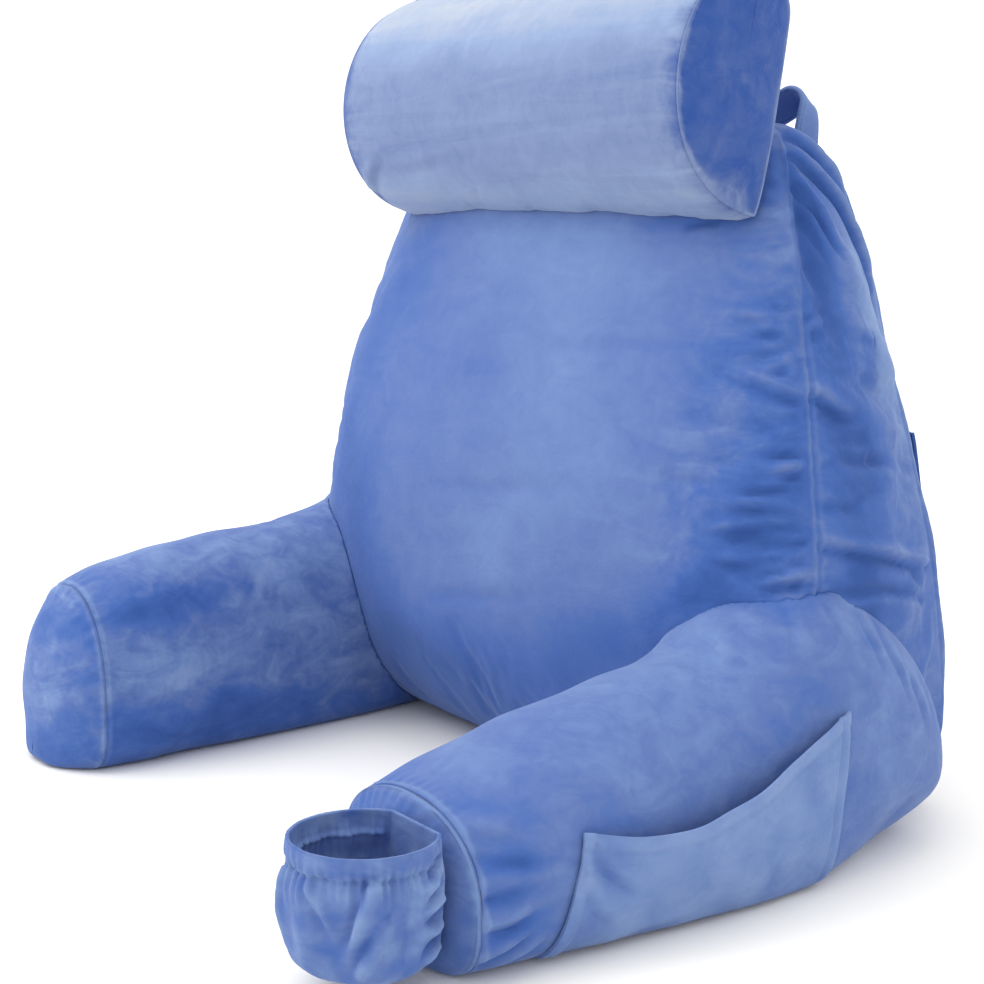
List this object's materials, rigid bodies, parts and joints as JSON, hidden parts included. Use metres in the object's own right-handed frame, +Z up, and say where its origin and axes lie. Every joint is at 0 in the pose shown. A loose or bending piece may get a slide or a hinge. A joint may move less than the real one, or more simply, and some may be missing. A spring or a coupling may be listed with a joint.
{
  "type": "reading pillow",
  "caption": "Filled reading pillow with a gusseted backrest, rounded arms, a half-moon neck roll, a carrying strap, a tablet pocket, a cup pouch and a back pocket.",
  "frame": {"origin": "on the floor, in the middle of the backrest's flat underside", "axes": "+X across the pillow towards the arm with the cup pouch, -Y the way the pillow faces, +Z up"},
  "size_m": [0.6791, 0.5723, 0.6029],
  "materials": {
    "plush_cover": "short-pile plush, nap brushed in patches",
    "plush_roll": "short-pile plush, nap brushed one way, paler",
    "plush_strap": "short-pile plush, folded and stitched along both edges"
  },
  "bodies": {
    "root": {"backrest": "plush_cover", "arm_right": "plush_cover", "arm_left": "plush_cover", "arm_cap_right": "plush_cover", "arm_cap_left": "plush_cover", "neck_roll": "plush_roll", "roll_end_right": "plush_roll", "roll_end_left": "plush_roll", "carry_handle": "plush_strap", "tablet_pocket": "plush_cover", "cup_pouch": "plush_cover", "back_pocket": "plush_cover"}
  },
  "joints": []
}
